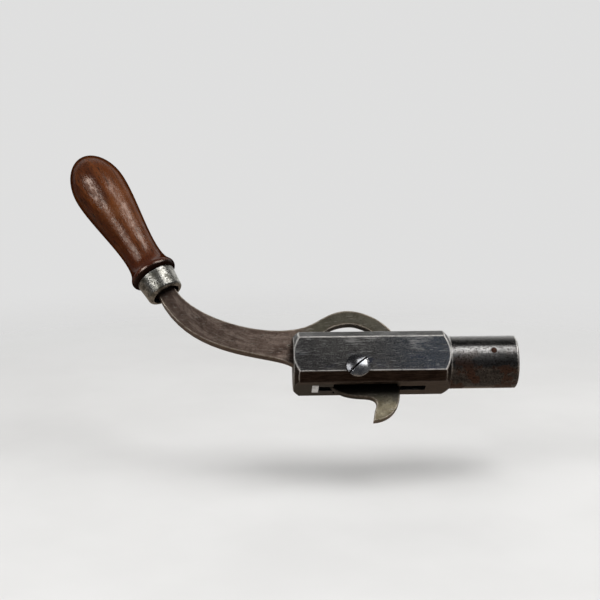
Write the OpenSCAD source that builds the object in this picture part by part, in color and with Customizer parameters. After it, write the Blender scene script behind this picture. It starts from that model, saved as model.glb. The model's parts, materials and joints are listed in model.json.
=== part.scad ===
// Lever-operated hand press: a slotted steel body with a round socket, a forged
// one-piece lever with an involute rim, a ram driven by the rim, and a turned wooden grip.
// Millimetres. Origin at the centre of the socket mouth, +X out of the socket along the
// body axis, +Z up, -Y towards the side that carries the head of the pivot screw.

/* [Body] */
// length of the body from its plain end to the socket mouth
body_len = 149; // [148:0.5:152]
// width of the square bar across opposite flats
body_w = 36; // [35.6:0.1:38]
// leg of the long chamfers along the four corners
corner_leg = 5.8; // [4:0.1:6.5]
// diameter of the turned barrel
barrel_d = 35.3; // [33:0.1:35.4]
// length of the turned barrel
barrel_len = 45; // [40:0.5:50]
// radius left on the plain end face by its 45 degree turned chamfer
end_face_r = 18; // [16:0.25:19]
// diameter of the bore the ram slides in
bore_d = 25; // [24.5:0.1:26]

/* [Slots] */
// width of the slot milled through the body
slot_w = 7.8; // [7.4:0.1:8.4]
// distance from the socket mouth to the near end of the slot
slot_near = 61.5; // [60:0.5:62]
// distance from the socket mouth to the far end of the slot in the underside
slot_far = 136.9; // [136.9:0.1:138]
// height of the slot floor at the open end, below the body axis
slot_floor = 7.2; // [7.1:0.1:9]
// width of the window in the underside
window_w = 16.6; // [16.5:0.1:18]
// distance from the socket mouth to the near end of the window
window_near = 80.6; // [76:0.1:82]
// distance from the socket mouth to the far end of the window
window_far = 122.8; // [121:0.1:124]

/* [Lever] */
// distance of the pivot behind the socket mouth
pivot_back = 107.2; // [106.8:0.1:107.6]
// distance of the pivot below the body axis, and base radius of the involute rim
pivot_drop = 8.5; // [8.3:0.1:8.7]
// reach of the rim towards the socket at rest
rim_reach = 33.1; // [32.8:0.1:33.4]
// width of the rim band
rim_w = 10; // [9.6:0.1:10.2]
// largest swing of the lever
throw_deg = 75; // [60:1:75]
// thickness of the rim, hub plate and claw
plate_t = 5.6; // [5:0.1:6]
// thickness of the arm
arm_t = 7; // [6.2:0.1:7.4]
// radius of the solid hub inside the crescent opening
hub_r = 16.5; // [15.5:0.25:17]
// radius of the thick boss round the pivot hole
boss_r = 6.5; // [5.5:0.1:7.5]

/* [Pivot screw] */
// diameter of the screw shank
shank_d = 8; // [7:0.1:8.4]
// diameter of the domed head
head_d = 16; // [14:0.25:17]
// height of the domed head
head_h = 3.3; // [2.6:0.1:3.8]
// angle of the driver slot above the body axis
driver_angle = 42; // [0:1:90]

/* [Ram] */
// diameter of the ram nose that enters the socket bush
nose_d = 17.9; // [16:0.1:17.92]
// diameter of the drive pin carried by the fork of the ram
drive_pin_d = 6; // [5:0.1:6]
// radial play of the ram in the bore
ram_play = 0.05; // [0.02:0.01:0.08]

/* [Socket] */
// inside diameter of the socket bush
socket_d = 18; // [18:0.1:19]
// length of the socket bush
bush_len = 33.6; // [30:0.1:33.6]
// diameter of the pin that holds the bush
barrel_pin_d = 3.8; // [3:0.1:4]
// distance of that pin behind the socket mouth
barrel_pin_back = 16.8; // [14:0.1:20]

/* [Handle] */
// lean of the handle axis away from vertical
handle_lean = 30.2; // [29.6:0.1:31]
// length of the ferrule
ferrule_len = 14.8; // [13:0.1:16]
// radius of the ferrule where it meets the wood
ferrule_top_r = 13.6; // [13.2:0.1:14]
// radius of the ferrule above its rounded lower edge
ferrule_low_r = 12.6; // [12.3:0.1:13]
// largest radius of the grip
grip_r = 18.8; // [17:0.1:20]
// length of the visible grip
grip_len = 107.8; // [104:0.2:114]
// length of the tang inside the grip
tang_len = 68; // [50:1:80]

/* [Hidden] */
$fn = 96;
// play between pieces that are fixed together
fit = 0.02;
// gaps between the moving rim and the faces it drives
push_gap = 0.05;
pull_gap = 0.1;
flat_half = body_w / 2;
edge_half = flat_half - corner_leg;
barrel_r = barrel_d / 2;
bore_r = bore_d / 2;
bar_r = 23;
mouth_edge = 0.8;
// ferrule mouth, where the handle axis leaves the arm, measured from the pivot
handle_x = -126.4;
handle_z = 60.7;
// edges of the arm where it enters the ferrule, across the handle axis
arm_top_w = 6.7;
arm_low_w = -5.6;
// ends of the taper from the thick arm to the thin plate, measured from the pivot
taper_far = -44;
taper_near = -34;
// ends of the longer taper filed into the cheeks below their diagonal shoulder
relief_far = -56;
relief_near = -43;
// that shoulder, from its far end down on the arm to its near end beside the slot
shoulder = [[relief_far, 14.6], [-45.6, 18.8], [-44.9, 21]];
lever_reach = 160;
// the rim follows its involute from below the drive line up to the full throw
rim_low_deg = -25;
rim_step_deg = 2.5;
thrust_x = -pivot_back + rim_reach + push_gap;
drive_pin_r = drive_pin_d / 2;
drive_pin_x = -pivot_back + rim_reach - rim_w - pull_gap - drive_pin_r;
drive_pin_inset = 0.7;
fork_end = 4.5;
ram_rear_x = drive_pin_x - fork_end;
ram_nose_x = -bush_len - 0.4;
nose_len = 12;
ram_shoulder_x = ram_nose_x - nose_len;
ram_edge = 0.6;
cheek_play = 0.25;
boss_play = 0.15;
pivot_play = 0.05;
key_len = 4.3;
key_w = 12.6;
key_top = -9.5;
barrel_pin_tilt = 4;
barrel_pin_end = socket_d / 2 + 0.6;
tang_w = 8;
tang_t = 5;
tenon_r = 11.5;
tenon_start = 3.5;
grip_lip_z = ferrule_len + 0.1;
// how far cuts run past the faces they open
past = 1;

// points on a cubic Bezier curve with the control points p, without its first point
function bezier(p, n) = [
    for (i = [1 : n])
        let (t = i / n, u = 1 - t)
            u * u * u * p[0] + 3 * u * u * t * p[1] + 3 * u * t * t * p[2] + t * t * t * p[3]
];

// involute of a circle of radius pivot_drop whose tangent distance at zero degrees is reach
function involute(reach, a) =
    let (h = reach + pivot_drop * a * PI / 180)
        [h * cos(a) - pivot_drop * sin(a), h * sin(a) + pivot_drop * cos(a)];

function involute_arc(reach, a0, a1) = [
    for (i = [0 : round((a1 - a0) / rim_step_deg)])
        involute(reach, a0 + i * (a1 - a0) / round((a1 - a0) / rim_step_deg))
];

function arc(cx, cz, r, a0, a1, n) = [
    for (i = [0 : n])
        let (a = a0 + (a1 - a0) * i / n)
            [cx + r * cos(a), cz + r * sin(a)]
];

// point in the lever's plane at a distance s along the handle and w across it
function on_handle(s, w) = [
    handle_x - s * sin(handle_lean) + w * cos(handle_lean),
    handle_z + s * cos(handle_lean) + w * sin(handle_lean)
];

// children drawn along +Z are laid along +X
module along_x() {
    rotate([0, 90, 0])
        children();
}

// children drawn in the X-Y plane are stood up in the X-Z plane, centred on Y = 0
module upright(t) {
    rotate([90, 0, 0])
        linear_extrude(height = t, center = true)
            children();
}

module at_pivot() {
    translate([-pivot_back, 0, -pivot_drop])
        children();
}

module along_handle() {
    at_pivot()
        translate([handle_x, 0, handle_z])
            rotate([0, -handle_lean, 0])
                children();
}

// cylinder across the body, centred on the Y axis
module cross_cylinder(r, y0, y1) {
    translate([0, y1, 0])
        rotate([90, 0, 0])
            cylinder(r = r, h = y1 - y0);
}

module box(x0, x1, y0, y1, z0, z1) {
    translate([x0, y0, z0])
        cube([x1 - x0, y1 - y0, z1 - z0]);
}

module octagon_bar() {
    rotate([90, 0, 90])
        translate([0, 0, -body_len])
            linear_extrude(height = body_len)
                polygon([
                    [flat_half, -edge_half], [flat_half, edge_half],
                    [edge_half, flat_half], [-edge_half, flat_half],
                    [-flat_half, edge_half], [-flat_half, -edge_half],
                    [-edge_half, -flat_half], [edge_half, -flat_half]
                ]);
}

// the solid the lathe leaves: plain end chamfer, full bar, 45 degree shoulder and barrel
module turned_envelope() {
    along_x()
        rotate_extrude()
            polygon([
                [0, -body_len],
                [end_face_r, -body_len],
                [bar_r, -body_len + bar_r - end_face_r],
                [bar_r, -barrel_len - bar_r + barrel_r],
                [barrel_r, -barrel_len],
                [barrel_r, -mouth_edge],
                [barrel_r - mouth_edge, 0],
                [0, 0]
            ]);
}

module barrel_pin_frame() {
    translate([-barrel_pin_back, 0, 0])
        rotate([-barrel_pin_tilt, 0, 0])
            children();
}

module body() {
    color("DimGray")
        difference() {
            intersection() {
                octagon_bar();
                turned_envelope();
            }
            translate([-window_far, 0, 0])
                along_x()
                    cylinder(r = bore_r, h = window_far + past);
            box(-body_len - past, -slot_near, -slot_w / 2, slot_w / 2, -slot_floor, flat_half + past);
            box(-slot_far, -slot_near, -slot_w / 2, slot_w / 2, -flat_half - past, 0);
            box(-window_far, -window_near, -window_w / 2, window_w / 2,
                -flat_half - past, -bore_r / 2);
            box(-slot_far - fit, -slot_far + key_len + fit, -key_w / 2 - fit, key_w / 2 + fit,
                -flat_half - past, key_top + fit);
            at_pivot()
                cross_cylinder(shank_d / 2 + fit, -flat_half - past, flat_half + past);
            barrel_pin_frame()
                cross_cylinder(barrel_pin_d / 2 + fit, -bar_r, 0);
        }
}

module socket_bush() {
    color("Gray")
        difference() {
            translate([-bush_len, 0, 0])
                along_x()
                    difference() {
                        cylinder(r = bore_r - fit, h = bush_len);
                        translate([0, 0, -past])
                            cylinder(r = socket_d / 2, h = bush_len + 2 * past);
                    }
            barrel_pin_frame()
                cross_cylinder(barrel_pin_d / 2 + fit, -bar_r, -barrel_pin_end + fit);
        }
}

// set radially through the barrel into the bush, its outer end dressed flush
module barrel_pin() {
    color("SaddleBrown")
        intersection() {
            barrel_pin_frame()
                cross_cylinder(barrel_pin_d / 2, -bar_r, -barrel_pin_end);
            translate([-barrel_len, 0, 0])
                along_x()
                    cylinder(r = barrel_r, h = barrel_len);
        }
}

// bar let into the underside across the far end of the slot; the lever rests on it
module slot_key() {
    color("Silver")
        box(-slot_far, -slot_far + key_len, -key_w / 2, key_w / 2, -flat_half, key_top);
}

module pivot_screw() {
    edge_h = 0.8;
    driver_w = 1.1;
    driver_depth = 1.5;
    end_inset = 0.4;
    cap_h = head_h - edge_h;
    cap_r = (head_d * head_d / 4 + cap_h * cap_h) / (2 * cap_h);
    color("Silver")
        at_pivot()
            difference() {
                union() {
                    cross_cylinder(shank_d / 2, -flat_half - edge_h / 2, flat_half - end_inset);
                    intersection() {
                        cross_cylinder(head_d / 2, -flat_half - head_h - past, -flat_half);
                        translate([0, -flat_half - head_h + cap_r, 0])
                            sphere(r = cap_r);
                    }
                }
                translate([0, -flat_half - head_h, 0])
                    rotate([0, -driver_angle, 0])
                        cube([head_d + past, 2 * driver_depth, driver_w], center = true);
            }
}

// side view of the lever about its pivot, before the crescent is cut
module lever_outline() {
    polygon(concat(
        involute_arc(rim_reach, rim_low_deg, throw_deg),
        bezier([involute(rim_reach, throw_deg), [-9.4, 48.3], [-17.8, 42.6], [-26, 37.7]], 12),
        bezier([[-26, 37.7], [-33, 33.5], [-42.1, 31.7], [-50, 31.7]], 8),
        bezier([[-50, 31.7], [-77.3, 31.7], [-111.5, 45.8], on_handle(0, arm_top_w)], 16),
        [
            on_handle(tenon_start - pull_gap, arm_top_w),
            on_handle(tenon_start - pull_gap, arm_low_w),
            on_handle(0, arm_low_w)
        ],
        bezier([on_handle(0, arm_low_w), [-109.9, 12.1], [-57.1, 17.2], [-42.3, 7.2]], 18),
        bezier([[-42.3, 7.2], [-32, 3.6], [-22.5, -1.8], [-19.5, -5.8]], 6),
        bezier([[-19.5, -5.8], [-14.5, -13.8], [-6.5, -15.9], [5.4, -16.4]], 10),
        bezier([[5.4, -16.4], [14.8, -17.2], [12.6, -22], [11.4, -25]], 8),
        [[9.8, -33.3]],
        bezier([[9.8, -33.3], [24, -32.5], [28.4, -21.5], [28.2, -13.5]], 12),
        bezier([[28.2, -13.5], [28.2, -10.5], [29, -7.5], involute(rim_reach, rim_low_deg)], 3)
    ));
}

// opening between the rim and the hub; the drive pin runs along its outer side
module crescent() {
    inner = rim_reach - rim_w;
    start = involute(inner, 0);
    end_r = (start[0] * start[0] + start[1] * start[1] - hub_r * hub_r) / (2 * (start[0] + hub_r));
    end_x = start[0] - end_r;
    touch_deg = atan2(start[1], end_x);
    polygon(concat(
        involute_arc(inner, 0, throw_deg),
        bezier([involute(inner, throw_deg), [-4.7, 36.7], [-14.5, 34.5], [-19.2, 30.9]], 8),
        bezier([[-19.2, 30.9], [-25.5, 26], [-24, 17], [-14.8, 13.6]], 8),
        bezier([[-14.8, 13.6], [-13.2, 13], [-12.2, 13.2], hub_r * [cos(124), sin(124)]], 3),
        arc(0, 0, hub_r, 118, touch_deg, 16),
        arc(end_x, start[1], end_r, touch_deg - 180, 0, 10)
    ));
}

// slab across the lever that is arm_t thick beyond far and plate_t thick inside near
module thickness(far, near) {
    linear_extrude(height = 2 * lever_reach, center = true)
        polygon([
            [-lever_reach, arm_t / 2], [far, arm_t / 2], [near, plate_t / 2], [lever_reach, plate_t / 2],
            [lever_reach, -plate_t / 2], [near, -plate_t / 2], [far, -arm_t / 2], [-lever_reach, -arm_t / 2]
        ]);
}

// shallow pockets filed in both cheeks of the arm, under a diagonal shoulder by the body
module cheek_relief() {
    difference() {
        upright(arm_t + past)
            polygon(concat(shoulder, [
                [taper_near, shoulder[2][1]],
                [taper_near, -pivot_drop],
                [relief_far, -pivot_drop]
            ]));
        thickness(relief_far, relief_near);
    }
}

module lever() {
    color("DarkKhaki")
        union() {
            at_pivot()
                difference() {
                    union() {
                        intersection() {
                            upright(arm_t)
                                difference() {
                                    lever_outline();
                                    crescent();
                                }
                            thickness(taper_far, taper_near);
                        }
                        cross_cylinder(boss_r, -window_w / 2 + boss_play, window_w / 2 - boss_play);
                    }
                    cross_cylinder(shank_d / 2 + pivot_play, -flat_half, flat_half);
                    cheek_relief();
                }
            along_handle()
                translate([-tang_w / 2, -tang_t / 2, 0])
                    cube([tang_w, tang_t, tenon_start + tang_len]);
        }
}

module ferrule() {
    lip_r = 9.5;
    lip_h = 2;
    round_r = 2.4;
    color("LightSlateGray")
        along_handle()
            rotate_extrude()
                polygon(concat(
                    arc(ferrule_low_r - round_r, round_r, round_r, -90, 0, 8),
                    [
                        [ferrule_top_r, ferrule_len],
                        [tenon_r + fit, ferrule_len],
                        [tenon_r + fit, lip_h],
                        [lip_r, lip_h],
                        [lip_r, 0]
                    ]
                ));
}

module grip() {
    lip_r = 13.4;
    flare_r = 15.6;
    flare_z = grip_lip_z + 4;
    butt_z = grip_lip_z + grip_len;
    belly_z = butt_z - 29;
    color("Sienna")
        along_handle()
            difference() {
                rotate_extrude()
                    polygon(concat(
                        [
                            [0, tenon_start], [tenon_r, tenon_start],
                            [tenon_r, grip_lip_z], [lip_r, grip_lip_z]
                        ],
                        bezier([[lip_r, grip_lip_z], [15, grip_lip_z + 0.3],
                                [16.5, grip_lip_z + 2.1], [flare_r, flare_z]], 6),
                        bezier([[flare_r, flare_z], [7.4, flare_z + 17],
                                [grip_r, belly_z - 22], [grip_r, belly_z]], 20),
                        bezier([[grip_r, belly_z], [grip_r, belly_z + 17],
                                [9.4, butt_z], [0, butt_z]], 14)
                    ));
                translate([-tang_w / 2 - fit, -tang_t / 2 - fit, 0])
                    cube([tang_w + 2 * fit, tang_t + 2 * fit, tenon_start + tang_len + fit]);
            }
}

// ram: a cylinder in the bore, forked round the rim at its rear, with a plain nose
module plunger() {
    ram_r = bore_r - ram_play;
    nose_r = nose_d / 2;
    cheek_gap = plate_t + 2 * cheek_play;
    color("SlateGray")
        difference() {
            along_x()
                rotate_extrude()
                    polygon([
                        [0, ram_rear_x],
                        [ram_r - ram_edge, ram_rear_x],
                        [ram_r, ram_rear_x + ram_edge],
                        [ram_r, ram_shoulder_x - ram_edge],
                        [ram_r - ram_edge, ram_shoulder_x],
                        [nose_r, ram_shoulder_x],
                        [nose_r, ram_nose_x - ram_edge],
                        [nose_r - ram_edge, ram_nose_x],
                        [0, ram_nose_x]
                    ]);
            box(ram_rear_x - past, thrust_x, -cheek_gap / 2, cheek_gap / 2, -bore_r, bore_r);
            translate([drive_pin_x, 0, 0])
                cross_cylinder(drive_pin_r + fit, -bore_r, bore_r);
        }
}

module drive_pin() {
    color("LightSteelBlue")
        translate([drive_pin_x, 0, 0])
            cross_cylinder(drive_pin_r, -bore_r + drive_pin_inset, bore_r - drive_pin_inset);
}

body();
socket_bush();
barrel_pin();
slot_key();
pivot_screw();
lever();
ferrule();
grip();
plunger();
drive_pin();
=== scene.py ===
"""Looks of the lever-operated hand press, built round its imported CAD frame.

Metres, in the frame of the CAD: origin at the centre of the socket mouth, +X out of the
socket, +Z up, -Y towards the side with the screw head. The tool is lit and seen as it
stands on a display, leaning back, so the studio has its own up direction.
"""

import json
import math

import bmesh
import bpy
from mathutils import Matrix, Vector

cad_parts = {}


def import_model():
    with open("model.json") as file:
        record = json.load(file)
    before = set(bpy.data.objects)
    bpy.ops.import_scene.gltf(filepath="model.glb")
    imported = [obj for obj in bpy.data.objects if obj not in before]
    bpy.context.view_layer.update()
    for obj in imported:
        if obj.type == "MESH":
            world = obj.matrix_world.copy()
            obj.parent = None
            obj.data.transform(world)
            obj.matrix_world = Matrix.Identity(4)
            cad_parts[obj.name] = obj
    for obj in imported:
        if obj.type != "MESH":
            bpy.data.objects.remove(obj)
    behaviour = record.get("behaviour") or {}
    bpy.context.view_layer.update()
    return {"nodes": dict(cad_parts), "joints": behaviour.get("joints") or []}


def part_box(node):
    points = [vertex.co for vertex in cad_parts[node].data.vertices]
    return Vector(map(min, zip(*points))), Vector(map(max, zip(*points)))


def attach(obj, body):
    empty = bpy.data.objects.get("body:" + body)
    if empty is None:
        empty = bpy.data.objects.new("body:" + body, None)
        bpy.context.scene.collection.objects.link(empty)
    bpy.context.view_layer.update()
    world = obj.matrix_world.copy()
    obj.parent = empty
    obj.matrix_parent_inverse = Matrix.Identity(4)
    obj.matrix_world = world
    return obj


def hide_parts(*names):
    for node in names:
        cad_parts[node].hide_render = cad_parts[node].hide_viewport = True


# lengths are in metres unless they say mm
MM = 0.001
TINY = 1e-6
WELD_REACH = 2e-6
FLAT_ANGLE = math.radians(0.4)
CRISP_ANGLE = math.radians(40)
ROUNDED_ANGLE = math.radians(25)
DRIVER_ANGLE = math.radians(42)
SIDEWAYS = Vector((0, 1, 0))

# a mix node's sockets for a type of data: share, first value, second value and result
MIX_SOCKETS = {"RGBA": (0, 6, 7, 2), "FLOAT": (0, 2, 3, 0)}

# the tool leans back on its display, so up in the studio isn't up in the frame
LEAN = math.radians(36)
STUDIO_UP = Vector((0, -math.sin(LEAN), math.cos(LEAN)))
STUDIO_BACK = Vector((0, math.cos(LEAN), math.sin(LEAN)))

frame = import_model()
cad = frame["nodes"]
joints = {joint["name"]: joint for joint in frame["joints"]}
pivot = Vector(joints["lever_pivot"]["pos_m"])
body_low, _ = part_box("body")


# ---------------------------------------------------------------- meshes

def new_piece(name, node, bm, body, material):
    """Turns a bmesh into a piece that rides on a body and stands for a CAD node."""
    mesh = bpy.data.meshes.new(name)
    bm.normal_update()
    bm.to_mesh(mesh)
    bm.free()
    mesh.polygons.foreach_set("use_smooth", [True] * len(mesh.polygons))
    mesh.set_sharp_from_angle(angle=CRISP_ANGLE)
    mesh.materials.append(material)
    piece = bpy.data.objects.new(name, mesh)
    bpy.context.scene.collection.objects.link(piece)
    weigh = piece.modifiers.new("weighted_normals", "WEIGHTED_NORMAL")
    weigh.keep_sharp = True
    weigh.weight = 80
    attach(piece, body)
    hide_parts(node)
    return piece


def welded(node):
    """The CAD node's surface as one closed mesh with its flat faces joined up."""
    bm = bmesh.new()
    bm.from_mesh(cad[node].data)
    bmesh.ops.remove_doubles(bm, verts=bm.verts, dist=WELD_REACH)
    bmesh.ops.dissolve_limit(bm, angle_limit=FLAT_ANGLE, verts=bm.verts, edges=bm.edges)
    return bm


def soften(bm, width, steps, keep=None):
    """Rounds the sharp edges that keep says yes to, as use and a file leave them."""
    sharp = [
        edge
        for edge in bm.edges
        if edge.is_manifold
        and edge.calc_face_angle(0) > ROUNDED_ANGLE
        and (keep is None or keep(edge))
    ]
    bmesh.ops.bevel(
        bm,
        geom=sharp,
        offset=width,
        offset_type="OFFSET",
        segments=steps,
        profile=0.5,
        affect="EDGES",
        clamp_overlap=False,
        loop_slide=True,
    )
    return bm


def bezier(p0, p1, p2, p3, steps):
    """Points of a cubic Bezier curve, without its first one."""
    points = []
    for i in range(1, steps + 1):
        t = i / steps
        u = 1 - t
        points.append(tuple(
            u ** 3 * a + 3 * u * u * t * b + 3 * u * t * t * c + t ** 3 * d
            for a, b, c, d in zip(p0, p1, p2, p3)
        ))
    return points


def lathe(profile, steps, place):
    """Turns a profile of (radius, height) points in millimetres into a closed solid."""
    bm = bmesh.new()
    rings = []
    for radius, height in profile:
        if radius < TINY:
            rings.append([bm.verts.new((0, 0, height * MM))])
            continue
        ring = []
        for i in range(steps):
            angle = 2 * math.pi * i / steps
            ring.append(bm.verts.new((
                radius * MM * math.cos(angle), radius * MM * math.sin(angle), height * MM
            )))
        rings.append(ring)
    pairs = list(zip(rings, rings[1:]))
    if len(rings[0]) > 1 and len(rings[-1]) > 1:
        pairs.append((rings[-1], rings[0]))
    for low, high in pairs:
        for i in range(steps):
            j = (i + 1) % steps
            if len(low) == 1:
                bm.faces.new((low[0], high[j], high[i]))
            elif len(high) == 1:
                bm.faces.new((low[i], low[j], high[0]))
            else:
                bm.faces.new((low[i], low[j], high[j], high[i]))
    bmesh.ops.recalc_face_normals(bm, faces=bm.faces)
    bm.transform(place)
    return bm


def handle_frame():
    """Origin at the ferrule's mouth, Z along the handle's axis, from the ferrule's flat faces."""
    ferrule = cad["ferrule"].data
    areas = {}
    for face in ferrule.polygons:
        key = tuple(round(c, 3) for c in face.normal)
        areas[key] = areas.get(key, 0) + face.area
    axis = Vector(max(areas, key=areas.get)).normalized()
    if axis.z < 0:
        axis = -axis
    across = axis.cross(SIDEWAYS).normalized()
    along = [vert.co.dot(axis) for vert in ferrule.vertices]
    reach = [vert.co.dot(across) for vert in ferrule.vertices]
    low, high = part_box("ferrule")
    origin = axis * min(along) + across * (min(reach) + max(reach)) / 2
    origin.y = (low.y + high.y) / 2
    turn = Matrix((SIDEWAYS.cross(axis), SIDEWAYS, axis)).transposed()
    return Matrix.Translation(origin) @ turn.to_4x4()


def span_along(node, place):
    """Lowest height, highest height and largest radius of a node in a lathe's frame, in mm."""
    back = place.inverted()
    points = [back @ vert.co for vert in cad[node].data.vertices]
    heights = [p.z / MM for p in points]
    return min(heights), max(heights), max(math.hypot(p.x, p.y) for p in points) / MM


# ---------------------------------------------------------------- materials

class Graph:
    """A short way to write the nodes of a material or a world. Masks go from 0 to 1."""

    def __init__(self, owner, place=None):
        owner.use_nodes = True
        self.owner = owner
        self.tree = owner.node_tree
        self.tree.nodes.clear()
        self.coords = self.node("ShaderNodeTexCoord").outputs["Object"]
        if place is not None:
            local = self.node("ShaderNodeMapping", vector_type="TEXTURE")
            self.plug(local.inputs["Vector"], self.coords)
            local.inputs["Location"].default_value = place.to_translation()
            local.inputs["Rotation"].default_value = place.to_euler()
            self.coords = local.outputs["Vector"]

    def node(self, kind, **settings):
        made = self.tree.nodes.new(kind)
        for key, value in settings.items():
            setattr(made, key, value)
        return made

    def plug(self, socket, value):
        if isinstance(value, bpy.types.NodeSocket):
            self.tree.links.new(value, socket)
        elif isinstance(value, (tuple, list)) and socket.type == "RGBA":
            socket.default_value = (*value[:3], 1)
        else:
            socket.default_value = value

    def math(self, operation, a, b=0.0, clamp=False):
        made = self.node("ShaderNodeMath", operation=operation, use_clamp=clamp)
        self.plug(made.inputs[0], a)
        self.plug(made.inputs[1], b)
        return made.outputs[0]

    def add(self, a, b):
        return self.math("ADD", a, b)

    def times(self, *values):
        product = values[0]
        for value in values[1:]:
            product = self.math("MULTIPLY", product, value)
        return product

    def most(self, a, b):
        return self.math("MAXIMUM", a, b)

    def less(self, a, b):
        """The mask a, reduced by the share b."""
        return self.times(a, self.math("SUBTRACT", 1.0, b, clamp=True))

    def dot(self, a, b):
        made = self.node("ShaderNodeVectorMath", operation="DOT_PRODUCT")
        self.plug(made.inputs[0], a)
        self.plug(made.inputs[1], b)
        return made.outputs["Value"]

    def step(self, value, low, high, out_low=0.0, out_high=1.0):
        """Eases from out_low to out_high as the value goes from low to high."""
        made = self.node("ShaderNodeMapRange", interpolation_type="SMOOTHSTEP")
        self.plug(made.inputs["Value"], value)
        for name, number in zip(
            ("From Min", "From Max", "To Min", "To Max"), (low, high, out_low, out_high)
        ):
            self.plug(made.inputs[name], number)
        return made.outputs["Result"]

    def mapped(self, scale, offset, turn):
        made = self.node("ShaderNodeMapping")
        self.plug(made.inputs["Vector"], self.coords)
        made.inputs["Scale"].default_value = scale
        made.inputs["Location"].default_value = offset
        made.inputs["Rotation"].default_value = turn
        return made.outputs["Vector"]

    def noise(self, scale, detail=4, rough=0.55, stretch=(1, 1, 1), offset=(0, 0, 0),
              turn=(0, 0, 0), warp=0.0, vector=None):
        made = self.node("ShaderNodeTexNoise")
        if vector is None:
            vector = self.mapped(stretch, offset, turn)
        self.plug(made.inputs["Vector"], vector)
        made.inputs["Scale"].default_value = scale
        made.inputs["Detail"].default_value = detail
        made.inputs["Roughness"].default_value = rough
        made.inputs["Distortion"].default_value = warp
        return made.outputs["Fac"]

    def cells(self, scale):
        made = self.node("ShaderNodeTexVoronoi")
        self.plug(made.inputs["Vector"], self.coords)
        made.inputs["Scale"].default_value = scale
        return made.outputs["Distance"]

    def rings(self, x, z, across, along):
        """A vector that is stretched along circles round a line through x and z, parallel to Y."""
        right = self.math("SUBTRACT", self.axis("X"), x)
        up = self.math("SUBTRACT", self.axis("Z"), z)
        reach = self.math("SQRT", self.add(self.times(right, right), self.times(up, up)))
        made = self.node("ShaderNodeCombineXYZ")
        self.plug(made.inputs[0], self.times(reach, across))
        self.plug(made.inputs[1], self.times(self.math("ARCTAN2", up, right), along))
        self.plug(made.inputs[2], self.times(self.axis("Y"), across))
        return made.outputs[0]

    def part(self, vector, name):
        made = self.node("ShaderNodeSeparateXYZ")
        self.plug(made.inputs[0], vector)
        return made.outputs[name]

    def axis(self, name):
        """One coordinate of the place on the surface."""
        return self.part(self.coords, name)

    def facing(self, name):
        """One coordinate of the way that the surface faces."""
        return self.part(self.node("ShaderNodeTexCoord").outputs["Normal"], name)

    def grazing(self):
        """0 where the surface faces the viewer, 1 where it turns away."""
        return self.node("ShaderNodeLayerWeight").outputs["Facing"]

    def mix(self, share, a, b, data_type="RGBA"):
        """The colour a where the share is 0, b where it is 1."""
        made = self.node("ShaderNodeMix", data_type=data_type)
        *inputs, result = MIX_SOCKETS[data_type]
        for socket, value in zip(inputs, (share, a, b)):
            self.plug(made.inputs[socket], value)
        return made.outputs[result]

    def blend(self, share, a, b):
        """The number a where the share is 0, b where it is 1."""
        return self.mix(share, a, b, "FLOAT")

    def paint(self, under, over, mask, low, high, share=1.0):
        """Lays a share of one colour over another as the mask goes from low to high."""
        return self.mix(self.step(mask, low, high, 0.0, share), under, over)

    def edges(self, radius, low=0.02, high=0.25):
        """1 on outer edges and in corners, 0 on open surface."""
        bevel = self.node("ShaderNodeBevel", samples=6)
        bevel.inputs["Radius"].default_value = radius
        flat = self.node("ShaderNodeNewGeometry").outputs["True Normal"]
        return self.step(self.math("SUBTRACT", 1.0, self.dot(bevel.outputs[0], flat)), low, high)

    def crevices(self, distance):
        """1 in corners and hollows, 0 on open surface."""
        made = self.node("ShaderNodeAmbientOcclusion", samples=6)
        made.inputs["Distance"].default_value = distance
        return self.math("SUBTRACT", 1.0, made.outputs["AO"], clamp=True)

    def bump(self, height, distance, strength):
        made = self.node("ShaderNodeBump")
        made.inputs["Strength"].default_value = strength
        made.inputs["Distance"].default_value = distance
        self.plug(made.inputs["Height"], height)
        return made.outputs["Normal"]

    def surface(self, colour, metallic, roughness, normal, **more):
        """The finished material; more sets other sockets, by names with underscores."""
        shader = self.node("ShaderNodeBsdfPrincipled")
        self.plug(shader.inputs["Base Color"], colour)
        self.plug(shader.inputs["Metallic"], metallic)
        self.plug(shader.inputs["Roughness"], roughness)
        self.plug(shader.inputs["Normal"], normal)
        for name, value in more.items():
            self.plug(shader.inputs[name.replace("_", " ")], value)
        self.plug(self.node("ShaderNodeOutputMaterial").inputs["Surface"], shader.outputs[0])
        return self.owner


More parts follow.
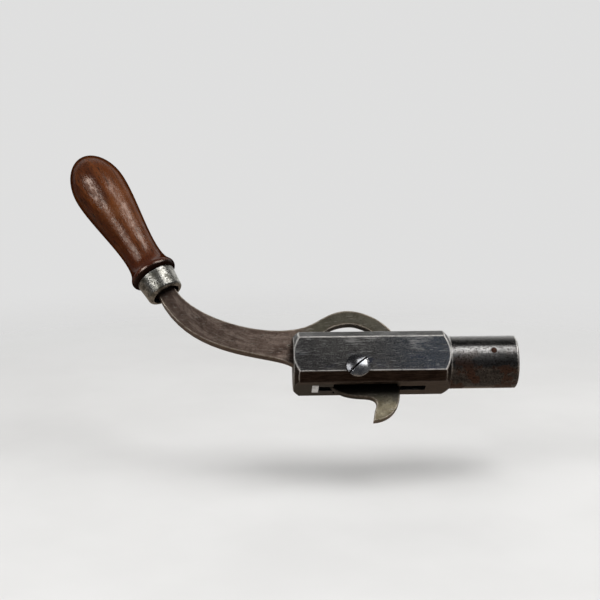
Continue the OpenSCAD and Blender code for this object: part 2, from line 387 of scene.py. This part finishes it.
def blued_steel():
    g = Graph(bpy.data.materials.new("blued_steel"))
    x, y, z = g.axis("X"), g.axis("Y"), g.axis("Z")
    upright = g.facing("Z")
    shoulder_x = -0.046
    barrel = g.step(x, shoulder_x - 0.0008, shoulder_x + 0.0008)
    front = g.step(g.facing("Y"), -0.8, -0.95)
    under = g.step(upright, -0.2, -0.6)
    bottom = g.step(upright, -0.82, -0.96)
    blotch = g.noise(38, 6, 0.6)
    patches = g.noise(90, 5, 0.65, stretch=(0.45, 1, 1), offset=(2, 0, 1))
    fine = g.noise(420, 5, 0.65)
    grit = g.noise(900, 3, 0.7, offset=(0, 4, 0))
    speck = g.noise(1500, 2, 0.6, offset=(1, 0, 6))
    drawn = g.noise(1, 5, 0.7, stretch=(110, 1000, 1000))
    streaks = g.noise(1, 4, 0.65, stretch=(45, 600, 600), offset=(0.3, 0, 0))
    scratches = g.noise(1, 3, 0.6, stretch=(170, 1900, 1900), offset=(0.1, 0.7, 0))
    worn = g.edges(0.0015, 0.002, 0.014)
    ends = g.step(g.math("ABSOLUTE", g.facing("X")), 0.08, 0.3)
    shaded_hollows = g.crevices(0.006)

    # the flats are drawn along their length, with some blue left on the near one
    flats = g.mix(g.step(blotch, 0.35, 0.7), (0.019, 0.018, 0.018), (0.037, 0.036, 0.034))
    flats = g.paint(flats, (0.09, 0.088, 0.085), drawn, 0.5, 0.66, 0.6)
    blue = g.times(g.step(x, -0.105, -0.055), g.step(blotch, 0.3, 0.5), front)
    dull = g.times(g.step(patches, 0.54, 0.62), g.step(z, 0.004, -0.004), front)
    flats = g.mix(g.times(blue, 0.7), flats, (0.021, 0.028, 0.039))
    flats = g.mix(g.times(dull, 0.8), flats, (0.014, 0.017, 0.03))
    flats = g.paint(flats, (0.013, 0.013, 0.014), streaks, 0.52, 0.66, 0.6)
    flats = g.paint(flats, (0.12, 0.118, 0.115), speck, 0.5, 0.66, 0.55)
    flats = g.paint(flats, (0.2, 0.196, 0.19), scratches, 0.58, 0.7, 0.6)
    flats = g.paint(flats, (0.01, 0.01, 0.011), grit, 0.55, 0.67, 0.8)
    pale = g.times(g.step(patches, 0.52, 0.66), g.step(drawn, 0.42, 0.54))
    flats = g.mix(g.times(pale, g.step(z, -0.004, 0.004), 0.6), flats, (0.19, 0.185, 0.18))

    # what faces down is brown: patina in patches, and a painted reflection of a brown floor, paler
    # on the bottom face; and a wiped strip where the body ends
    brown = g.most(under, g.step(g.noise(55, 5, 0.6, offset=(1, 2, 3)), 0.6, 0.78))
    brown_patina_and_reflection = g.mix(g.step(drawn, 0.42, 0.6), (0.015, 0.008, 0.005), (0.038, 0.024, 0.017))
    pale_umber = g.mix(g.step(drawn, 0.4, 0.6), (0.05, 0.037, 0.028), (0.12, 0.095, 0.077))
    brown_patina_and_reflection = g.mix(bottom, brown_patina_and_reflection, pale_umber)
    flats = g.mix(g.times(brown, 0.9), flats, brown_patina_and_reflection)
    wiped = g.times(g.step(x, -0.119, -0.1225), g.step(y, -0.0094, -0.0082))
    flats = g.mix(g.times(wiped, under, 0.8), flats, (0.05, 0.054, 0.05))

    # the barrel is blacker, with a rubbed band along the near side, painted lighter with bright
    # flecks as a painted highlight, and rust below it
    black = g.mix(g.step(fine, 0.35, 0.68), (0.026, 0.024, 0.023), (0.08, 0.077, 0.074))
    rubbed_band_and_highlight = g.times(g.step(z, 0.0055, 0.0025), g.step(z, -0.008, -0.003), g.step(y, -0.004, -0.012))
    worn_flecks_and_glints = g.times(g.step(patches, 0.4, 0.58), g.step(grit, 0.62, 0.42), g.blend(rubbed_band_and_highlight, 0.3, 1.0))
    black = g.mix(g.times(rubbed_band_and_highlight, 0.4), black, (0.15, 0.147, 0.144))
    black = g.mix(g.times(worn_flecks_and_glints, 0.75), black, (0.25, 0.245, 0.24))
    rust = g.times(
        g.step(g.noise(75, 6, 0.6, offset=(4, 1, 0)), 0.48, 0.56), g.step(z, 0.004, -0.012)
    )
    black = g.mix(g.times(rust, 0.9), black, (0.072, 0.038, 0.026))
    black = g.paint(black, (0.016, 0.012, 0.01), grit, 0.53, 0.63, 0.85)
    colour = g.mix(barrel, flats, black)

    # edges are worn bright and carry painted highlights, whitest on the ends, except underneath; on
    # the barrel only its two ends are
    rims = g.most(g.step(x, -0.005, -0.002), g.step(x, -0.041, -0.044))
    chips = g.times(
        g.step(g.noise(420, 3), 0.3, 0.52, 0.45, 1.0), g.step(blotch, 0.36, 0.56, 0.5, 1.0)
    )
    lit_exposed_side = g.times(g.step(upright, -0.75, -0.45, 0.12, 1.0), g.blend(barrel, 1.0, rims))
    lit_exposed_side = g.times(lit_exposed_side, g.step(y, -0.0115, -0.014, 0.5, 1.0))
    edge = g.less(g.times(worn, chips, lit_exposed_side), g.times(shaded_hollows, 1.5))
    worn_edge_highlight = g.mix(ends, (0.78, 0.75, 0.71), (1, 0.98, 0.94))
    colour = g.mix(g.times(edge, 0.95), colour, worn_edge_highlight)
    rough = g.step(drawn, 0.2, 0.8, 0.36, 0.54)
    rough = g.blend(barrel, rough, g.blend(rubbed_band_and_highlight, g.step(grit, 0.35, 0.65, 0.1, 0.28), 0.28))
    rough = g.add(rough, g.times(rust, barrel, 0.3))
    rough = g.blend(edge, rough, 0.5)
    height = g.add(g.times(drawn, g.blend(barrel, 0.9, 0.15)), g.times(fine, 0.35))
    height = g.math("SUBTRACT", height, g.times(g.step(grit, 0.52, 0.7), 0.6))
    return g.surface(colour, 0.96, rough, g.bump(height, 0.00007, 0.95))


def forged_steel():
    g = Graph(bpy.data.materials.new("forged_steel"))
    x, z = g.axis("X"), g.axis("Z")
    arm = g.step(x, pivot.x - 0.026, pivot.x - 0.046)
    claw = g.step(z, -0.02, -0.036)
    near_slot = g.step(x, pivot.x - 0.044, pivot.x - 0.036)
    blotch = g.noise(52, 6, 0.65)
    patches = g.noise(130, 5, 0.6, offset=(1, 0, 2))
    fine = g.noise(480, 6, 0.75)
    grit = g.noise(900, 3, 0.7, offset=(0, 4, 0))
    drawn = g.noise(1, 5, 0.7, stretch=(150, 900, 900), turn=(0, 0.35, 0))
    bend = (pivot.x - 0.05, pivot.z + 0.1)
    filed = g.noise(1, 4, 0.7, vector=g.rings(*bend, 1300, 9))
    long_wear = g.noise(1, 4, 0.6, vector=g.rings(*bend, 420, 4.5))
    pits = g.less(g.times(g.step(g.cells(330), 0.2, 0.08), g.step(blotch, 0.45, 0.6)), claw)
    specks = g.less(g.step(grit, 0.56, 0.68), g.times(claw, 0.7))
    worn = g.edges(0.0015, 0.004, 0.045)
    border = g.edges(0.0028, 0.004, 0.05)
    shaded_hollows = g.crevices(0.007)

    # a brown arm, a green-grey hub and a claw that is rubbed to the colour of bronze
    brown = g.mix(g.step(blotch, 0.3, 0.7), (0.075, 0.05, 0.04), (0.12, 0.087, 0.07))
    brown = g.paint(brown, (0.19, 0.145, 0.12), long_wear, 0.48, 0.66, 0.65)
    brown = g.paint(brown, (0.035, 0.022, 0.016), patches, 0.52, 0.68, 0.5)
    green = g.mix(g.step(blotch, 0.3, 0.7), (0.045, 0.041, 0.029), (0.066, 0.061, 0.046))
    # painted sheen: towards its right end the hub takes one smooth tone
    green = g.paint(green, (0.05, 0.048, 0.041), x, pivot.x + 0.006, pivot.x + 0.03)
    green = g.paint(green, (0.09, 0.083, 0.064), patches, 0.42, 0.72, 0.35)
    bronze = g.mix(g.step(patches, 0.34, 0.68), (0.115, 0.096, 0.059), (0.24, 0.212, 0.147))
    colour = g.mix(claw, g.mix(arm, green, brown), bronze)
    blue = g.times(claw, g.step(g.noise(120, 4, offset=(3, 0, 0)), 0.54, 0.6))
    colour = g.mix(g.times(blue, 0.8), colour, (0.018, 0.021, 0.03))

    # wear: dark grain, file marks that follow the bend, pits and long scratches
    grain = g.times(g.step(fine, 0.5, 0.62), g.blend(claw, 0.45, 0.3))
    colour = g.mix(grain, colour, (0.026, 0.018, 0.013))
    colour = g.mix(g.times(g.step(filed, 0.54, 0.66), arm, 0.6), colour, (0.22, 0.178, 0.15))
    colour = g.mix(g.times(pits, 0.5), colour, (0.02, 0.015, 0.012))
    colour = g.mix(g.times(specks, 0.6), colour, (0.02, 0.015, 0.012))
    colour = g.paint(colour, (0.23, 0.21, 0.18), drawn, 0.56, 0.68, 0.5)
    tan = g.times(border, g.step(blotch, 0.36, 0.5))
    colour = g.mix(g.times(tan, 0.75), colour, (0.07, 0.042, 0.025))

    # painted shade darkens the parts that work inside the body, what faces down beside the slot,
    # and the hollows; outer edges are worn bright and carry painted highlights
    shade_from_body = g.times(g.step(z, -0.031, -0.0185), g.step(z, 0.014, 0.006), near_slot)
    shaded = g.times(g.step(g.facing("Z"), -0.25, -0.6), g.step(z, 0.012, 0.016), near_slot)
    colour = g.mix(g.times(g.most(shade_from_body, shaded), 0.93), colour, (0.007, 0.006, 0.005))
    chips = g.step(g.noise(300, 3), 0.3, 0.55, 0.3, 1)
    edge = g.less(g.times(worn, chips), g.most(shaded_hollows, g.times(shade_from_body, 0.8)))
    colour = g.mix(g.times(edge, 0.85), colour, (0.56, 0.5, 0.42))
    colour = g.paint(colour, (0.012, 0.01, 0.008), shaded_hollows, 0.5, 0.95)
    rough = g.blend(claw, g.step(blotch, 0.2, 0.8, 0.36, 0.54), g.step(fine, 0.3, 0.7, 0.24, 0.38))
    height = g.add(g.times(blotch, 2.4), g.times(fine, g.blend(claw, 0.7, 0.3)))
    height = g.math("SUBTRACT", g.add(height, g.times(drawn, 0.4)), g.times(pits, 0.4))
    return g.surface(colour, 0.94, rough, g.bump(height, 0.00012, 0.9))


def ferrule_nickel():
    g = Graph(bpy.data.materials.new("ferrule_nickel"), handle)
    blotch = g.noise(190, 6, 0.72)
    fine = g.noise(800, 5, 0.75)
    pits = g.step(g.cells(520), 0.3, 0.08)
    worn = g.edges(0.0007, 0.008, 0.09)
    shaded_hollows = g.crevices(0.005)
    colour = g.mix(g.step(blotch, 0.4, 0.6), (0.1, 0.096, 0.08), (0.35, 0.342, 0.315))
    colour = g.paint(colour, (0.07, 0.066, 0.054), fine, 0.49, 0.62, 0.8)
    colour = g.mix(g.times(pits, 0.6), colour, (0.03, 0.027, 0.022))
    colour = g.mix(g.times(worn, 0.6), colour, (0.5, 0.48, 0.45))
    # painted shade darkens the hollows
    colour = g.paint(colour, (0.012, 0.01, 0.008), shaded_hollows, 0.35, 0.85)
    rough = g.step(blotch, 0.3, 0.7, 0.4, 0.18)
    height = g.math("SUBTRACT", g.add(g.times(blotch, 1.6), g.times(fine, 1.0)), g.times(pits, 0.9))
    return g.surface(colour, 0.97, rough, g.bump(height, 0.00012, 1.0))


def varnished_wood(place, lip, length):
    """Old varnish over red-brown wood, for a grip turned from a lip to a length along place."""
    g = Graph(bpy.data.materials.new("varnished_wood"), place)
    z = g.axis("Z")
    rings = g.noise(1, 3, 0.5, stretch=(85, 85, 6), warp=0.8)
    grain = g.noise(1, 5, 0.75, stretch=(620, 620, 30), offset=(0.5, 0.2, 0))
    pores = g.noise(1, 3, 0.6, stretch=(1300, 1300, 75), offset=(3, 1, 0))
    cloud = g.noise(26, 4, 0.55, offset=(0, 0, 0.4))
    scuffs = g.noise(1, 5, 0.75, stretch=(330, 330, 130), offset=(7, 0, 0))
    rubbed = g.noise(1, 3, 0.6, stretch=(55, 55, 38), offset=(2, 6, 0))
    shaded_hollows = g.crevices(0.006)
    grazing = g.grazing()

    colour = g.mix(g.step(rings, 0.34, 0.66), (0.054, 0.0125, 0.0032), (0.115, 0.031, 0.0065))
    colour = g.paint(colour, (0.034, 0.009, 0.003), grain, 0.46, 0.62, 0.5)
    colour = g.paint(colour, (0.012, 0.0035, 0.0015), pores, 0.52, 0.64, 0.8)
    colour = g.paint(colour, (0.165, 0.05, 0.011), cloud, 0.46, 0.7, 0.5)
    colour = g.paint(colour, (0.04, 0.006, 0.002), z, length * 0.34, length * 0.14, 0.68)
    colour = g.paint(colour, (0.2, 0.09, 0.035), scuffs, 0.56, 0.7, 0.2)
    # painted shade: darker where the surface turns away from the viewer, nearly black under the
    # bead, and dark in the hollows
    colour = g.paint(colour, (0.018, 0.005, 0.002), grazing, 0.4, 0.85, 0.75)
    colour = g.paint(colour, (0.007, 0.002, 0.001), z, lip + 0.0036, lip + 0.0022)
    colour = g.paint(colour, (0.006, 0.002, 0.001), shaded_hollows, 0.4, 0.9)

    film = g.add(g.times(g.noise(75, 4, 0.6, offset=(0, 5, 0)), 2.2), g.times(scuffs, 1.6))
    film_normal = g.bump(film, 0.00018, 0.8)
    grooves = g.add(g.times(grain, 0.4), g.times(pores, 0.3))
    bead = g.step(z, lip + 0.013, lip + 0.007)
    gloss = g.blend(bead, g.step(scuffs, 0.41, 0.58, 0.08, 0.3), 0.12)

    # the shine is broken by wear, and weaker on what faces down or away from the viewer
    shine = g.times(g.step(rubbed, 0.38, 0.54, 0.55, 1.0), g.step(scuffs, 0.6, 0.43, 0.36, 1.0))
    shine = g.times(g.most(shine, bead), g.step(z, lip + 0.0006, lip + 0.0032, 0.12, 1.0))
    upward = g.add(g.times(g.facing("Y"), STUDIO_UP.y), g.times(g.facing("Z"), STUDIO_UP.z))
    shine = g.times(shine, g.step(grazing, 0.3, 0.64, 1.0, 0.0))
    shine = g.times(shine, g.step(upward, 0.05, 0.35, 0.4, 1.0))
    return g.surface(
        colour,
        0.0,
        gloss,
        g.bump(g.add(film, grooves), 0.00018, 0.8),
        Specular_IOR_Level=g.times(shine, 0.85),
        Specular_Tint=(1, 0.8, 0.68),
        Coat_Weight=g.times(shine, 0.1),
        Coat_Roughness=gloss,
        Coat_Normal=film_normal,
    )


def polished_steel(name, tone, rough, blue=0.0, dirt_and_shade_tone=(0.03, 0.02, 0.015), metal=1.0,
                   grain=0.45, slotted=False):
    """Turned steel: some blue, dirt specks, painted shade in its hollows and, if slotted, a driver
    slot painted dark for its grime and shade.
    """
    g = Graph(bpy.data.materials.new(name))
    blotch = g.noise(210, 5, 0.6)
    fine = g.noise(1400, 4, 0.65)
    worn = g.edges(0.0005)
    shaded_hollows = g.crevices(0.003)
    colour = g.mix(g.step(blotch, 0.35, 0.65), tuple(c * 0.6 for c in tone), tone)
    colour = g.paint(colour, (0.05, 0.075, 0.14), blotch, 0.62, 0.42, blue)
    colour = g.paint(colour, dirt_and_shade_tone, fine, 0.56, 0.7, grain)
    colour = g.mix(g.times(worn, 0.5), colour, tuple(min(1, c * 1.5) for c in tone))
    # painted shade darkens the hollows
    colour = g.paint(colour, tuple(c * 0.3 for c in dirt_and_shade_tone), shaded_hollows, 0.45, 0.85)
    roughness = g.step(fine, 0.3, 0.7, *rough)
    if slotted:
        along = Vector((math.cos(DRIVER_ANGLE), 0, math.sin(DRIVER_ANGLE)))
        across = along.cross(SIDEWAYS)
        side = g.math("SUBTRACT", g.dot(g.coords, across), pivot.dot(across))
        colour = g.paint(colour, (0.06, 0.06, 0.062), side, 0.0, 0.003, 0.85)
        # a dark line painted along the driver slot stands for its grime and the shade inside it
        head = g.step(g.axis("Y"), body_low.y, body_low.y - 0.0002)
        slot_grime_and_shade = g.times(g.step(g.math("ABSOLUTE", side), 0.00062, 0.0005), head)
        colour = g.mix(slot_grime_and_shade, colour, (0.006, 0.005, 0.005))
        roughness = g.blend(slot_grime_and_shade, roughness, 0.7)
    height = g.add(g.times(blotch, 0.8), g.times(fine, 0.35))
    return g.surface(colour, metal, roughness, g.bump(height, 0.00004, 0.6))


# ---------------------------------------------------------------- the object

handle = handle_frame()
grip_low, grip_top, grip_r = span_along("grip", handle)
_, ferrule_top, ferrule_r = span_along("ferrule", handle)
barrel_pin_x = sum(corner.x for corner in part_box("barrel_pin")) / 2
drive_pin_low, drive_pin_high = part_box("drive_pin")

blued = blued_steel()
forged = forged_steel()
nickel = ferrule_nickel()
wood = varnished_wood(handle, ferrule_top * MM, grip_top * MM)
screw_steel = polished_steel(
    "screw_steel", (0.5, 0.5, 0.5), (0.19, 0.3), blue=0.25, grain=0.2, slotted=True
)
bare_steel = polished_steel("bare_steel", (0.3, 0.29, 0.28), (0.24, 0.44))
pin_steel = polished_steel("pin_steel", (0.3, 0.3, 0.31), (0.2, 0.38), blue=0.2)
key_steel = polished_steel("key_steel", (0.85, 0.85, 0.84), (0.3, 0.5), metal=0.35)
rusted = polished_steel(
    "rusted_steel", (0.075, 0.038, 0.027), (0.5, 0.75), dirt_and_shade_tone=(0.03, 0.01, 0.007)
)


def middle(edge):
    """The point halfway along an edge."""
    return (edge.verts[0].co + edge.verts[1].co) / 2


def clear_of_runouts(edge):
    """False on the barrel pin's hole in the bore, and where the end's round edge meets a flat."""
    hole_reach = 0.003
    bore_limit = 0.0127
    end_reach = 0.0006
    runout_reach = 0.0042
    flat_limit = 0.0172
    spot = middle(edge)
    aside, out = sorted((abs(spot.y), abs(spot.z)))
    on_hole = abs(spot.x - barrel_pin_x) < hole_reach and math.hypot(aside, out) < bore_limit
    on_flat = spot.x < body_low.x + end_reach and aside < runout_reach and out > flat_limit
    return not on_hole and not on_flat


def clear_of_drive_pin(edge):
    """False on the rims of the holes that the drive pin fills."""
    margin = 0.0005
    spot = middle(edge)
    return not (
        drive_pin_low.x - margin < spot.x < drive_pin_high.x + margin
        and drive_pin_low.z - margin < spot.z < drive_pin_high.z + margin
    )


def clear_of_shoulder(edge):
    """False on the shallow shoulder filed across the arm's cheeks, which stays crisp."""
    far_x, near_x = -0.057, -0.043
    low_z, high_z = 0.0125, 0.0225
    places = [vert.co - pivot for vert in edge.verts]
    return not all(far_x < p.x < near_x and low_z < p.z < high_z for p in places)


def crisp_end_face(piece, x):
    """Marks the border of the flat face at x as sharp, which keeps its shading flat."""
    mesh = piece.data
    for edge in mesh.edges:
        if all(abs(mesh.vertices[i].co.x - x) < TINY for i in edge.vertices):
            edge.use_edge_sharp = True


def softened_piece(name, node, body, material, width, steps=2, keep=None):
    """A piece made from its CAD node by rounding the sharp edges."""
    return new_piece(name, node, soften(welded(node), width, steps, keep), body, material)


body_piece = softened_piece("press_body", "body", "press_body", blued,
                            0.00022, keep=clear_of_runouts)
crisp_end_face(body_piece, body_low.x)
softened_piece("forged_lever", "lever", "hand_lever", forged,
               0.0006, steps=3, keep=clear_of_shoulder)
softened_piece("screw", "pivot_screw", "press_body", screw_steel, 0.00012)
softened_piece("key", "slot_key", "press_body", key_steel, 0.0002)
softened_piece("retaining_pin", "barrel_pin", "press_body", rusted, 0.00008)
softened_piece("bush", "socket_bush", "press_body", bare_steel, 0.0003)
softened_piece("ram_body", "plunger", "ram", bare_steel,
               0.0002, keep=clear_of_drive_pin)
softened_piece("cross_pin", "drive_pin", "ram", pin_steel, 0.0003)


def ferrule_profile():
    """The ferrule's (radius, height) points in mm: a tapered ring with a rounded lower edge."""
    low_r = ferrule_r - 1.0
    mouth_r = 9.5
    inner_r = 11.6
    lip_z = 2.0
    round_r = 2.4
    round_steps = 12
    side_z = ferrule_top - 0.25
    side_steps = 16
    points = [(mouth_r, lip_z), (mouth_r, 0.35), (mouth_r + 0.1, 0.1), (mouth_r + 0.35, 0)]
    for i in range(round_steps + 1):
        angle = math.radians(-90 + 90 * i / round_steps)
        points.append((
            low_r - round_r + round_r * math.cos(angle), round_r + round_r * math.sin(angle)
        ))
    for i in range(1, side_steps):
        share = i / side_steps
        points.append((
            low_r + (ferrule_r - low_r) * share ** 1.3, round_r + (side_z - round_r) * share
        ))
    points += [(ferrule_r - 0.02, ferrule_top - 0.12), (ferrule_r - 0.2, ferrule_top)]
    points += [(inner_r, ferrule_top), (inner_r, lip_z)]
    return points


def grip_profile():
    """The grip's (radius, height) points in mm: a plug, a bead, a waist, a belly and a butt."""
    plug_r = 11.5
    shoulder_r, shoulder_z = 13.4, ferrule_top + 0.1
    bead_r, bead_z = 16.2, shoulder_z + 3.2
    waist_r, waist_z = 14.7, shoulder_z + 6.9
    belly_r, belly_z = grip_r - 0.04, grip_top - 29
    points = [(0, grip_low), (plug_r, grip_low), (plug_r, shoulder_z), (shoulder_r, shoulder_z)]
    points += bezier((shoulder_r, shoulder_z), (shoulder_r + 1.6, shoulder_z),
                     (bead_r, bead_z - 1.7), (bead_r, bead_z), 14)
    points += bezier((bead_r, bead_z), (bead_r, bead_z + 1.7),
                     (waist_r + 0.7, waist_z - 1.3), (waist_r, waist_z), 12)
    points += bezier((waist_r, waist_z), (waist_r - 6.5, waist_z + 12.1),
                     (belly_r, belly_z - 22), (belly_r, belly_z), 60)
    points += bezier((belly_r, belly_z), (belly_r, belly_z + 17),
                     (9.4, grip_top), (0, grip_top), 36)
    return points


ferrule_ring = lathe(ferrule_profile(), 144, handle)
new_piece("ferrule_ring", "ferrule", ferrule_ring, "hand_lever", nickel)
wooden_grip = lathe(grip_profile(), 160, handle)
new_piece("wooden_grip", "grip", wooden_grip, "hand_lever", wood)


# ---------------------------------------------------------------- studio

# the spot that the lights face
MIDDLE = Vector((pivot.x - 0.031, 0, 0))
LENS_MM = 78
SENSOR_MM = 36
NEAREST_SEEN = 0.02
FARTHEST_SEEN = 20
CAMERA_PLACE = (-0.1855, -0.8052, -0.3211)
CAMERA_YAW = math.radians(3.03)
CAMERA_RISE = math.radians(24.54)
CAMERA_ROLL = math.radians(-1.85)
FLOOR_DROP = 0.082
FLOOR_REACH = 1.6


def camera():
    """It looks up at the tool from in front and below, because the tool leans back."""
    data = bpy.data.cameras.new("camera")
    data.lens = LENS_MM
    data.sensor_width = SENSOR_MM
    data.clip_start = NEAREST_SEEN
    data.clip_end = FARTHEST_SEEN
    made = bpy.data.objects.new("camera", data)
    bpy.context.scene.collection.objects.link(made)
    made.matrix_world = (
        Matrix.Translation(CAMERA_PLACE)
        @ Matrix.Rotation(-CAMERA_YAW, 4, "Z")
        @ Matrix.Rotation(math.pi / 2 + CAMERA_RISE, 4, "X")
        @ Matrix.Rotation(CAMERA_ROLL, 4, "Z")
    )
    bpy.context.scene.camera = made


def softbox(name, towards, distance, width, height, watts, mirrored=True):
    """A rectangular light facing the tool, from a direction given as (right, up, back)."""
    data = bpy.data.lights.new(name, "AREA")
    data.shape = "RECTANGLE"
    data.size = width
    data.size_y = height
    data.energy = watts
    made = bpy.data.objects.new(name, data)
    bpy.context.scene.collection.objects.link(made)
    way = Vector((towards[0], 0, 0)) + STUDIO_UP * towards[1] + STUDIO_BACK * towards[2]
    way.normalize()
    made.location = MIDDLE + way * distance
    made.rotation_mode = "QUATERNION"
    made.rotation_quaternion = way.to_track_quat("Z", "Y")
    made.visible_glossy = mirrored


def floor():
    """A pale sheet under the tool that fades out and can't be seen from below."""
    bm = bmesh.new()
    bmesh.ops.create_grid(bm, x_segments=2, y_segments=2, size=FLOOR_REACH)
    mesh = bpy.data.meshes.new("floor")
    bm.to_mesh(mesh)
    bm.free()
    sheet = bpy.data.objects.new("floor", mesh)
    bpy.context.scene.collection.objects.link(sheet)
    turn = Matrix((Vector((1, 0, 0)), STUDIO_BACK, STUDIO_UP)).transposed().to_4x4()
    sheet.matrix_world = Matrix.Translation(MIDDLE - STUDIO_UP * FLOOR_DROP) @ turn
    g = Graph(bpy.data.materials.new("floor"))
    tone = g.mix(g.step(g.noise(9, 3), 0.3, 0.7), (0.66, 0.655, 0.645), (0.69, 0.685, 0.675))
    # the metal mirrors a browner floor than the camera sees
    tone = g.mix(g.node("ShaderNodeLightPath").outputs["Is Glossy Ray"], tone, (0.32, 0.26, 0.21))
    matt = g.node("ShaderNodeBsdfDiffuse")
    g.plug(matt.inputs["Color"], tone)
    away = g.node("ShaderNodeVectorMath", operation="LENGTH")
    g.plug(away.inputs[0], g.coords)
    faded = g.step(away.outputs["Value"], 0.22, 0.75)
    edge_on = g.step(g.grazing(), 0.8, 0.92)
    from_below = g.node("ShaderNodeNewGeometry").outputs["Backfacing"]
    join = g.node("ShaderNodeMixShader")
    g.plug(join.inputs[0], g.most(from_below, g.most(faded, edge_on)))
    g.plug(join.inputs[1], matt.outputs[0])
    g.plug(join.inputs[2], g.node("ShaderNodeBsdfTransparent").outputs[0])
    g.plug(g.node("ShaderNodeOutputMaterial").inputs["Surface"], join.outputs[0])
    mesh.materials.append(g.owner)


def world():
    """Pale to the camera; to the metal, a dim room with a pale wall behind the tool."""
    made = bpy.data.worlds.new("studio")
    bpy.context.scene.world = made
    dim = (0.11, 0.11, 0.115)
    pale_wall = (1.3, 1.3, 1.28)
    brown_floor = (0.3, 0.26, 0.22)
    backdrop = (0.74, 0.74, 0.738)
    g = Graph(made)
    way = g.node("ShaderNodeTexCoord").outputs["Generated"]
    room = g.paint(dim, pale_wall, g.dot(way, STUDIO_BACK), 0.35, 0.85)
    room = g.paint(room, brown_floor, g.dot(way, -STUDIO_UP), 0.0, 0.5)
    seen = g.mix(g.node("ShaderNodeLightPath").outputs["Is Camera Ray"], room, backdrop)
    glow = g.node("ShaderNodeBackground")
    g.plug(glow.inputs["Color"], seen)
    g.plug(g.node("ShaderNodeOutputWorld").inputs["Surface"], glow.outputs[0])


camera()
world()
floor()
softbox("overhead", (0.44, 0.87, -0.26), distance=1.2, width=0.92, height=0.66, watts=8.4)
softbox("left_side", (-0.74, 0.52, -0.44), distance=1.3, width=0.56, height=0.6, watts=6.6)
softbox("ceiling", (0, 1, -0.1), distance=1.3, width=1.6, height=1.6, watts=8, mirrored=False)
softbox("back_fill", (0.4, 0.5, 0.8), distance=1.4, width=0.8, height=0.8, watts=2, mirrored=False)
bpy.context.scene.view_settings.view_transform = "Standard"
